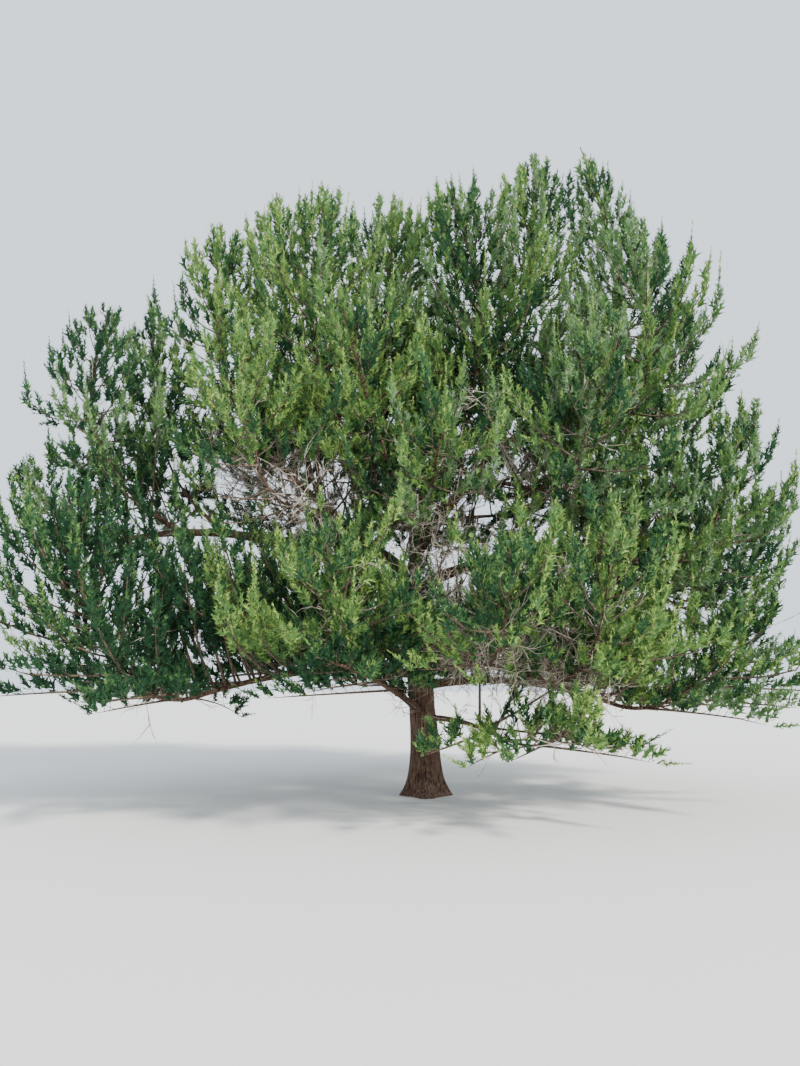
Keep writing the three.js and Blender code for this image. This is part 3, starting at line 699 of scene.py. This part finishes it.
def object_from_arrays(name, vertices, triangles, quads=NO_QUADS):
    """A mesh object from arrays of many small shapes."""
    mesh = bpy.data.meshes.new(name)
    corners = np.concatenate([quads.reshape(-1), triangles.reshape(-1)]).astype(np.int32)
    starts = np.concatenate([np.arange(len(quads)) * 4, len(quads) * 4 + np.arange(len(triangles)) * 3])
    mesh.vertices.add(len(vertices))
    mesh.vertices.foreach_set("co", vertices.astype(np.float32).reshape(-1))
    mesh.loops.add(len(corners))
    mesh.loops.foreach_set("vertex_index", corners)
    mesh.polygons.add(len(starts))
    mesh.polygons.foreach_set("loop_start", starts.astype(np.int32))
    mesh.update(calc_edges=True)
    return add_object(name, mesh)


# Bark: strips that wander as they run up the wood, with finer shreds over them. A limb's own radius lies at
# the mean of its strips, and its bark is turned for each letter of its name. The trunk's rings stand closer
# together low down.

STRIP_WANDER = (0.5, 0.7)
STRIP_STEEP = 3.2
STRIP_WEIGHT = 0.75
SHRED_FINE = (2.7, 3.1)
SHRED_WEIGHT = 0.35
TRUNK_SIDES = 112
TRUNK_STEPS = 190
RINGS_LOW = 1.25
TRUNK_STRIPS = (2.6, 0.9)
TRUNK_RELIEF = 0.016
TRUNK_MEAN = 0.55
BOUGH_SIDES = 22
BOUGH_STEP = 0.045
FEWEST_STEPS = 6
BOUGH_STRIPS = (1.6, 1.4)
BOUGH_RELIEF = 0.2
BOUGH_MEAN = 0.5
BOUGH_TURN = 1.7


def bark_height(angle, along, strips):
    """The relief of fibrous strips: near 1 on a strip, falling to 0 in the furrows between them."""
    around, lengthwise = strips
    x, y, z = math.cos(angle) * around, math.sin(angle) * around, along * lengthwise
    wander = noise.noise(Vector((x * STRIP_WANDER[0], y * STRIP_WANDER[0], z * STRIP_WANDER[1])))
    ridge = abs(noise.noise(Vector((x + wander, y - wander, z))))
    shreds = noise.noise(Vector((x * SHRED_FINE[0], y * SHRED_FINE[0], z * SHRED_FINE[1])))
    return min(1, ridge * STRIP_STEEP) * STRIP_WEIGHT + shreds * SHRED_WEIGHT


def tube_between(name, sides, steps, place):
    """A closed tube whose vertices go where place(share, angle) puts them, capped at both ends."""
    shape = bmesh.new()
    bmesh.ops.create_cone(shape, cap_ends=True, segments=sides, radius1=1, radius2=1, depth=1)
    upright = [edge for edge in shape.edges if abs(edge.verts[0].co.z - edge.verts[1].co.z) > 0.5]
    bmesh.ops.subdivide_edges(shape, edges=upright, cuts=steps - 1, use_grid_fill=True)
    for vertex in shape.verts:
        vertex.co = place(min(max(vertex.co.z + 0.5, 0), 1), math.atan2(vertex.co.y, vertex.co.x))
    bmesh.ops.recalc_face_normals(shape, faces=shape.faces)
    mesh = bpy.data.meshes.new(name)
    shape.to_mesh(mesh)
    shape.free()
    mesh.polygons.foreach_set("use_smooth", [True] * len(mesh.polygons))
    return add_object(name, mesh)


def bark_trunk():
    """The trunk with its root flare, flutes and strips of bark, from the flat cut at the ground."""

    def place(share, angle):
        share = share**RINGS_LOW
        height = share * TRUNK_HEIGHT
        flutes = 1 + FLUTE_DEPTH * math.exp(-height / FLUTE_FADE) * math.cos(FLUTES * angle)
        radius = (trunk_radius(share) + FLARE * math.exp(-height / FLARE_HEIGHT)) * flutes
        relief = TRUNK_RELIEF * radius / TRUNK_RADIUS
        radius += relief * (bark_height(angle, height, TRUNK_STRIPS) - TRUNK_MEAN)
        middle = trunk_middle(share)
        return Vector((middle[0] + radius * math.cos(angle), middle[1] + radius * math.sin(angle), height))

    return tube_between("trunk_bark", TRUNK_SIDES, TRUNK_STEPS, place)


def bark_limb(name, line, root, tip, taper, sides):
    """A bough or stem with strips of bark along a line."""
    steps = max(FEWEST_STEPS, int(line.length / BOUGH_STEP))
    shares = np.linspace(0, 1, steps + 1)
    middles = line.at(shares)
    across, outs = across_pair(line.along(shares))
    turned = len(name) * BOUGH_TURN

    def place(share, angle):
        step = round(share * steps)
        radius = root + (tip - root) * share**taper
        strips = bark_height(angle + turned, share * line.length, BOUGH_STRIPS)
        radius *= 1 + BOUGH_RELIEF * (strips - BOUGH_MEAN)
        outward = across[step] * math.cos(angle) + outs[step] * math.sin(angle)
        return Vector(middles[step] + outward * radius)

    return tube_between(name, sides, steps, place)


# Materials

MATT_ROUGHNESS = 0.7
MATT_GLOSS = 0.18
MATT_TINT = {"Patch Scale": 1.3, "Fleck Scale": 22, "Fleck": 0.45}
BARK_ROUGHNESS = 0.9
BARK_GLOSS = 0.15
BARK_TINT = {"Patch Scale": 2.5, "Fleck Scale": 26, "Fleck": 0.4}
# The furrows of the bark are darkened to this share of its darker tint, as painted shade
FURROW_SHADE = 0.3


def new_group(name, inputs, outputs):
    """An empty shader node group with named inputs and outputs, and its two end nodes."""
    group = bpy.data.node_groups.new(name, "ShaderNodeTree")
    for label, value in inputs.items():
        kind = "NodeSocketColor" if isinstance(value, tuple) else "NodeSocketFloat"
        group.interface.new_socket(label, in_out="INPUT", socket_type=kind).default_value = value
    for label, kind in outputs.items():
        group.interface.new_socket(label, in_out="OUTPUT", socket_type=kind)
    return group, group.nodes.new("NodeGroupInput"), group.nodes.new("NodeGroupOutput")


def join(links, *joints):
    """Joins nodes: each joint is a node and its output, then a node and its input."""
    for source, output, target, socket in joints:
        links.new(source.outputs[output], target.inputs[socket])


def uneven_tint_group():
    """Two colours mixed unevenly over the tree, with a finer fleck over them."""
    group, start, end = new_group(
        "uneven_tint",
        {"Shade": (0.1, 0.1, 0.1, 1), "Light": (0.3, 0.3, 0.3, 1), **BARK_TINT},
        {"Color": "NodeSocketColor"},
    )
    nodes, links = group.nodes, group.links
    place = nodes.new("ShaderNodeTexCoord")
    patches = nodes.new("ShaderNodeTexNoise")
    patches.inputs["Detail"].default_value = 3
    flecks = nodes.new("ShaderNodeTexNoise")
    flecks.inputs["Detail"].default_value = 2
    blend = nodes.new("ShaderNodeMix")
    contrast = nodes.new("ShaderNodeMapRange")
    contrast.inputs["From Min"].default_value = 0.32
    contrast.inputs["From Max"].default_value = 0.68
    tint = nodes.new("ShaderNodeMix")
    tint.data_type = "RGBA"
    join(
        links,
        (place, "Object", patches, "Vector"),
        (place, "Object", flecks, "Vector"),
        (start, "Patch Scale", patches, "Scale"),
        (start, "Fleck Scale", flecks, "Scale"),
        (start, "Fleck", blend, "Factor"),
        (patches, "Fac", blend, "A"),
        (flecks, "Fac", blend, "B"),
        (blend, "Result", contrast, "Value"),
        (contrast, "Result", tint, "Factor"),
        (start, "Shade", tint, "A"),
        (start, "Light", tint, "B"),
        (tint, "Result", end, "Color"),
    )
    return group


def fibres_group():
    """Long fibres that run up the wood: a height for the bump and a mask of the furrows."""
    group, start, end = new_group(
        "bark_fibres",
        {"Around": 40, "Along": 3},
        {"Height": "NodeSocketFloat", "Furrows": "NodeSocketFloat"},
    )
    nodes, links = group.nodes, group.links
    place = nodes.new("ShaderNodeTexCoord")
    stretch = nodes.new("ShaderNodeCombineXYZ")
    squeeze = nodes.new("ShaderNodeVectorMath")
    squeeze.operation = "MULTIPLY"
    fibres = nodes.new("ShaderNodeTexNoise")
    fibres.inputs["Scale"].default_value = 1
    fibres.inputs["Detail"].default_value = 5
    fibres.inputs["Roughness"].default_value = 0.6
    furrows = nodes.new("ShaderNodeMapRange")
    furrows.inputs["From Min"].default_value = 0.36
    furrows.inputs["From Max"].default_value = 0.56
    join(
        links,
        (start, "Around", stretch, "X"),
        (start, "Around", stretch, "Y"),
        (start, "Along", stretch, "Z"),
        (place, "Object", squeeze, 0),
        (stretch, "Vector", squeeze, 1),
        (squeeze, "Vector", fibres, "Vector"),
        (fibres, "Fac", furrows, "Value"),
        (fibres, "Fac", end, "Height"),
        (furrows, "Result", end, "Furrows"),
    )
    return group


UNEVEN_TINT = uneven_tint_group()
BARK_FIBRES = fibres_group()


def new_material(name, roughness):
    """A material with its shader, ready for its nodes."""
    material = bpy.data.materials.new(name)
    material.use_nodes = True
    shader = material.node_tree.nodes["Principled BSDF"]
    shader.inputs["Roughness"].default_value = roughness
    return material, shader


def place_group(material, group, values):
    """A shader group placed in a material with its own values."""
    node = material.node_tree.nodes.new("ShaderNodeGroup")
    node.node_tree = group
    for label, value in values.items():
        node.inputs[label].default_value = value
    return node


def matt_material(name, shade, light):
    """Scale foliage or weathered twigs: matt, with uneven tint over the crown."""
    material, shader = new_material(name, MATT_ROUGHNESS)
    shader.inputs["Specular IOR Level"].default_value = MATT_GLOSS
    tint = place_group(material, UNEVEN_TINT, {"Shade": (*shade, 1), "Light": (*light, 1), **MATT_TINT})
    material.node_tree.links.new(tint.outputs["Color"], shader.inputs["Base Color"])
    return material


def bark_material(name, shade, light, around, along, depth):
    """Bark in fibrous strips, darkened in the furrows as painted shade and weathered on the ridges."""
    material, shader = new_material(name, BARK_ROUGHNESS)
    shader.inputs["Specular IOR Level"].default_value = BARK_GLOSS
    nodes, links = material.node_tree.nodes, material.node_tree.links
    tint = place_group(material, UNEVEN_TINT, {"Shade": (*shade, 1), "Light": (*light, 1), **BARK_TINT})
    fibres = place_group(material, BARK_FIBRES, {"Around": around, "Along": along})
    dark = nodes.new("ShaderNodeMix")
    dark.data_type = "RGBA"
    dark.inputs["A"].default_value = (*(FURROW_SHADE * tone for tone in shade), 1)
    bump = nodes.new("ShaderNodeBump")
    bump.inputs["Strength"].default_value = 0.8
    bump.inputs["Distance"].default_value = depth
    join(
        links,
        (fibres, "Furrows", dark, "Factor"),
        (tint, "Color", dark, "B"),
        (dark, "Result", shader, "Base Color"),
        (fibres, "Height", bump, "Height"),
        (bump, "Normal", shader, "Normal"),
    )
    return material


BARK = bark_material("red_brown_bark", (0.085, 0.045, 0.03), (0.23, 0.15, 0.11), 55, 3, 0.01)
TWIG_BARK = bark_material("twig_bark", (0.12, 0.08, 0.055), (0.26, 0.2, 0.15), 70, 8, 0.003)
DEAD_WOOD = matt_material("weathered_dead_twigs", (0.3, 0.25, 0.2), (0.6, 0.53, 0.45))
# The foliage tints are lit and shaded copies of one green: deep is painted shade, sunny and bright are
# painted sunlight, dull is greyer and green lies between
TINTS = {
    "deep": matt_material("painted_shade_foliage", (0.01, 0.042, 0.019), (0.034, 0.1, 0.041)),
    "dull": matt_material("dull_foliage", (0.14, 0.22, 0.12), (0.28, 0.39, 0.22)),
    "green": matt_material("green_foliage", (0.048, 0.125, 0.038), (0.127, 0.25, 0.074)),
    "sunny": matt_material("sunny_foliage", (0.13, 0.24, 0.056), (0.28, 0.42, 0.11)),
    "bright": matt_material("painted_sunlight_foliage", (0.23, 0.37, 0.085), (0.41, 0.56, 0.15)),
}

# How the tints are dealt out over the flames of a mass of each tone, in patches from dark to light: patches
# of painted light and shade, placed by noise
DEAL = {
    "deep": {"deep": 0.55, "green": 0.35, "dull": 0.1},
    "dull": {"deep": 0.04, "green": 0.22, "dull": 0.5, "sunny": 0.24},
    "green": {"deep": 0.04, "green": 0.34, "dull": 0.36, "sunny": 0.26},
    "sunny": {"green": 0.3, "dull": 0.05, "sunny": 0.45, "bright": 0.2},
    "bright": {"green": 0.35, "sunny": 0.4, "bright": 0.25},
}
PATCH_SCALE = 1.1
PATCH_MIX = 0.12

# The tint that a spray takes towards the tip of a flame, a lighter one as a painted highlight, and the one
# that it takes inside, a darker one as painted shade
LIGHTER = {"deep": "green", "dull": "sunny", "green": "sunny", "sunny": "bright", "bright": "bright"}
DARKER = {"deep": "deep", "dull": "green", "green": "deep", "sunny": "green", "bright": "green"}
LIGHTER_SHARE = 0.9
DARKER_SHARE = 0.4
MOST_SPRAYS = 49000

# Live twigs: a shoot is thicker where it reaches further, and a plume's twig ends before its sprays do
SHOOT_RINGS = 5
SHOOT_RADIUS = 0.005
SHOOT_THICKER = 0.008
PLUME_TWIG_RADIUS = 0.004
PLUME_TWIG_SHARE = 0.9
TWIG_SINK = 0.001

# Dead twigs: how many start on each metre of a stem or bough, on all shoots and on each bare shoot, and
# between which shares of its length
DEAD_ON_STEM = {"deep": 4, "dull": 6, "green": 5, "sunny": 4, "bright": 9}
DEAD_ON_BOUGH = 9
DEAD_ON_SHOOTS = 150
DEAD_ON_BARE_SHOOT = 36
ALONG_STEM = (0.0, 0.6)
ALONG_BOUGH = (0.15, 1.0)
ALONG_BARE_SHOOT = (0.1, 1.0)
DEAD_LENGTHS = (0.2, 0.6)
DEAD_RADII = (0.0028, 0.0058)
DEAD_LEAD = 0.35
DEAD_BEND = 0.22

# The points of a dead twig: shares of its length along, and of its bend across
DEAD_POINTS = ((0, 0), (0.33, 0.5), (0.66, 1), (1, 0.6))
SIDE_TWIG_PLACES = (0.1, 0.55, 0.95)
SIDE_TWIG_TURN = 0.9
SIDE_TWIG_LENGTHS = (0.3, 0.6)
SIDE_TWIG_BEND = 0.25

# Dead twigs stay inside the masses' spaces, but for the tangle low down
TANGLE_HEIGHT = 3.5
LOWEST_DEAD_TWIG = 0.25


def grow_crown(random):
    """All shoots, the bare ones among them, the plumes, and the tone and end of each flame of plumes."""
    shoots, plumes, tones, ends = [], [], [], []

    def add_flames(flames, flame_tones, free):
        """Grows the plumes of some flames, numbered on from those before."""
        grown = grow_plumes(flames, free, random)
        grown["flame"] += len(tones)
        plumes.append(grown)
        tones.extend(flame_tones)
        ends.extend(flame["line"].at(1.0) for flame in flames)

    for mass in SPACES:

        def free(points):
            return owned(mass, points, PLUME_EDGE, PLUME_OVERLAP)

        mass_shoots = grow_shoots(mass, random)
        flames = mass_shoots + [dict(line=mass["line"], slim=1 - SLIM_HIGH)]
        add_flames(flames, [mass["tone"]] * len(flames), free)
        shoots += mass_shoots
    limb_shoots = grow_limb_shoots(TRUNK_LINE, LIMB_FILL, random)
    for row in BOUGHS:
        limb_shoots += grow_limb_shoots(LIMBS[row["name"]]["line"], row.get("fill", LIMB_FILL), random)
    marks = np.array([shoot["line"].at(BARE_MARK) for shoot in limb_shoots])
    dead = is_bare(marks, random)
    leafy_shoots = [shoot for shoot, gone in zip(limb_shoots, dead) if not gone]
    bare_shoots = [shoot for shoot, gone in zip(limb_shoots, dead) if gone]
    nearest = claims(marks[~dead]).argmin(axis=1)
    nearest_tones = [SPACES[index]["tone"] for index in nearest]
    add_flames(leafy_shoots, nearest_tones, lambda points: in_crown(points, MOST_FILL))
    plumes = {label: np.concatenate([some[label] for some in plumes]) for label in plumes[0]}
    return shoots + leafy_shoots + bare_shoots, bare_shoots, plumes, np.array(tones), ends


def deal_tints(plumes, tones, ends, random):
    """The tint of each plume: dealt out by flame in patches of painted light and shade, and here and there
    darker inside a flame as painted shade.
    """
    patches = np.array([noise.noise(Vector(end) * PATCH_SCALE) for end in ends])
    patches += random.normal(size=len(patches)) * PATCH_MIX
    tints = np.empty(len(tones), dtype=object)
    for tone, shares in DEAL.items():
        toned = np.flatnonzero(tones == tone)
        toned = toned[np.argsort(patches[toned])]
        stops = (np.cumsum(list(shares.values())) * len(toned)).round().astype(int)
        for tint, some in zip(shares, np.split(toned, stops[:-1])):
            tints[some] = tint
    tints = tints[plumes["flame"]]
    inside = random.uniform(size=len(tints)) < DARKER_SHARE * (1 - plumes["outer"])
    return np.where(inside, np.vectorize(DARKER.get)(tints), tints)


def lay_sprays(plumes, plume_tints, random):
    """All sprays and their tints: fine ones that turn lighter towards the tips as a painted highlight, and
    broad ones darker as painted shade.
    """
    owner, *fine = spray_rows(plumes, SPRAY_STEP, SPRAY_LENGTH, LEAN_LOW, SPRAY_REACH, random)
    tints = plume_tints[owner]
    height = np.einsum("ij,ij->i", fine[0] - plumes["root"][owner], plumes["axis"][owner])
    outer = plumes["outer"][owner] * height / plumes["length"][owner]
    lighter = random.uniform(size=len(owner)) < LIGHTER_SHARE * outer
    tints = np.where(lighter, np.vectorize(LIGHTER.get)(tints), tints)
    owner, *body = spray_rows(plumes, BODY_STEP, BODY_LENGTH, BODY_LEAN, BODY_REACH, random)
    tints = np.concatenate([tints, np.vectorize(DARKER.get)(plume_tints[owner])])
    return [np.concatenate(pair) for pair in zip(fine, body)], tints


def dead_twig_places(shoot_lines, bare_shoots, random):
    """Where dead twigs start on stems, boughs and shoots, and the directions of the wood there."""
    feet, leads = [], []

    def along(line, shares, count):
        """Places on a line between two shares of its length."""
        share = random.uniform(*shares, count)
        feet.append(line.at(share))
        leads.append(line.along(share))

    for mass in SPACES:
        along(mass["line"], ALONG_STEM, int(DEAD_ON_STEM[mass["tone"]] * mass["line"].length))
    for row in BOUGHS:
        line = LIMBS[row["name"]]["line"]
        along(line, ALONG_BOUGH, int(DEAD_ON_BOUGH * line.length))
    picked = random.integers(0, len(shoot_lines), DEAD_ON_SHOOTS)
    part = random.integers(0, SHOOT_RINGS - 2, DEAD_ON_SHOOTS)
    feet.append(shoot_lines[picked, part])
    leads.append(unit(shoot_lines[picked, part + 1] - shoot_lines[picked, part]))
    for shoot in bare_shoots:
        along(shoot["line"], ALONG_BARE_SHOOT, DEAD_ON_BARE_SHOOT)
    return np.concatenate(feet), np.concatenate(leads)


def dead_twig_lines(feet, leads, random):
    """The lines of bent bare twigs from the given places, and of their finer side twigs."""
    count = len(feet)
    wander = unit(random.normal(size=(count, 3)))
    heading = unit(leads * DEAD_LEAD + wander)
    length = random.uniform(*DEAD_LENGTHS, count)[:, None]
    bend = unit(random.normal(size=(count, 3))) * length * DEAD_BEND
    points = [feet + heading * length * ahead + bend * across for ahead, across in DEAD_POINTS]
    main = np.stack(points, axis=1)
    sides = []
    for share in SIDE_TWIG_PLACES:
        start = main[:, 1] + (main[:, 2] - main[:, 1]) * share
        turn = unit(heading + SIDE_TWIG_TURN * unit(random.normal(size=(count, 3))))
        tip = start + turn * length * random.uniform(*SIDE_TWIG_LENGTHS, (count, 1))
        middle = (start + tip) / 2 + bend * SIDE_TWIG_BEND
        sides.append(np.stack([start, middle, tip], axis=1))
    return main, np.concatenate(sides)


def dress(piece, material, nodes=()):
    """Gives a piece its material, its body and the solids it stands for."""
    piece.data.materials.append(material)
    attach(piece, "root")
    if nodes:
        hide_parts(*nodes)


def add_twigs(name, lines, radii, material):
    """A piece of many twigs."""
    vertices, quads, triangles = twig_mesh(lines, radii)
    dress(object_from_arrays(name, vertices, triangles, quads), material)


# The wood

dress(bark_trunk(), BARK, ["trunk"])
for row in BOUGHS:
    limb = LIMBS[row["name"]]
    name = f"bough_bark_{row['name']}"
    piece = bark_limb(name, limb["line"], limb["root"], limb["radius"], BOUGH_TAPER, BOUGH_SIDES)
    dress(piece, BARK, [f"bough_{row['name']}"])
for mass in SPACES:
    name = f"stem_bark_{mass['name']}"
    piece = bark_limb(name, mass["line"], mass["root"], STEM_TIP_RADIUS, STEM_TAPER, STEM_SIDES)
    dress(piece, BARK)

# The foliage and its twigs

random = np.random.default_rng(SEED)
all_shoots, bare_shoots, plumes, flame_tones, flame_ends = grow_crown(random)
plume_tints = deal_tints(plumes, flame_tones, flame_ends, random)
sprays, spray_tints = lay_sprays(plumes, plume_tints, random)
for tint, material in TINTS.items():
    rows = [column[spray_tints == tint] for column in sprays]
    nodes = [f"foliage_{mass['name']}" for mass in SPACES if mass["tone"] == tint]
    pieces = math.ceil(len(rows[0]) / MOST_SPRAYS)
    for number in range(pieces):
        vertices, triangles = spray_mesh(*(column[number::pieces] for column in rows))
        piece = object_from_arrays(f"sprays_{tint}_{number + 1}", vertices, triangles)
        dress(piece, material, nodes if number == 0 else ())
shoot_lines = np.array([shoot["line"].at(np.linspace(0, 1, SHOOT_RINGS)) for shoot in all_shoots])
shoot_radii = np.array([SHOOT_RADIUS + SHOOT_THICKER * shoot["reach"] for shoot in all_shoots])
add_twigs("shoots", shoot_lines, shoot_radii, TWIG_BARK)
ends = plumes["root"] + plumes["axis"] * plumes["length"][:, None] * PLUME_TWIG_SHARE
plume_lines = np.stack([plumes["foot"] - UP * TWIG_SINK, plumes["root"], ends], axis=1)
add_twigs("plume_twigs", plume_lines, np.full(len(plume_lines), PLUME_TWIG_RADIUS), TWIG_BARK)

# Dead twigs under and inside the crown

dead_lines = dead_twig_lines(*dead_twig_places(shoot_lines, bare_shoots, random), random)
for name, lines in zip(("dead_twigs", "dead_side_twigs"), dead_lines):
    fits = (claims(lines[:, -1]).min(axis=1) < 1) | (lines[:, -1, 2] < TANGLE_HEIGHT)
    fits &= lines[:, :, 2].min(axis=1) > LOWEST_DEAD_TWIG
    lines = lines[fits]
    add_twigs(name, lines, random.uniform(*DEAD_RADII, len(lines)), DEAD_WOOD)

# The stage: a pale floor, a high soft sun and a soft sky

FLOOR_RADIUS = 60
FLOOR_SIDES = 96
FLOOR_ROUGHNESS = 0.9

floor_shape = bmesh.new()
bmesh.ops.create_circle(floor_shape, cap_ends=True, segments=FLOOR_SIDES, radius=FLOOR_RADIUS)
floor_mesh = bpy.data.meshes.new("floor")
floor_shape.to_mesh(floor_mesh)
floor_shape.free()
floor = add_object("floor", floor_mesh)
floor_material, floor_shader = new_material("pale_floor", FLOOR_ROUGHNESS)
floor_shader.inputs["Base Color"].default_value = (0.72, 0.72, 0.7, 1)
floor_mesh.materials.append(floor_material)

sun = bpy.data.lights.new("key_sun", "SUN")
sun.energy = 6.0
sun.angle = math.radians(8)
sun.color = (1.0, 0.95, 0.86)
sun_object = add_object("key_sun", sun)
sun_object.rotation_euler = (math.radians(48), math.radians(12), math.radians(40))

sky = bpy.data.worlds.new("soft_sky")
sky.use_nodes = True
sky.node_tree.nodes["Background"].inputs["Color"].default_value = (0.78, 0.86, 0.95, 1)
sky.node_tree.nodes["Background"].inputs["Strength"].default_value = 1.7
bpy.context.scene.world = sky
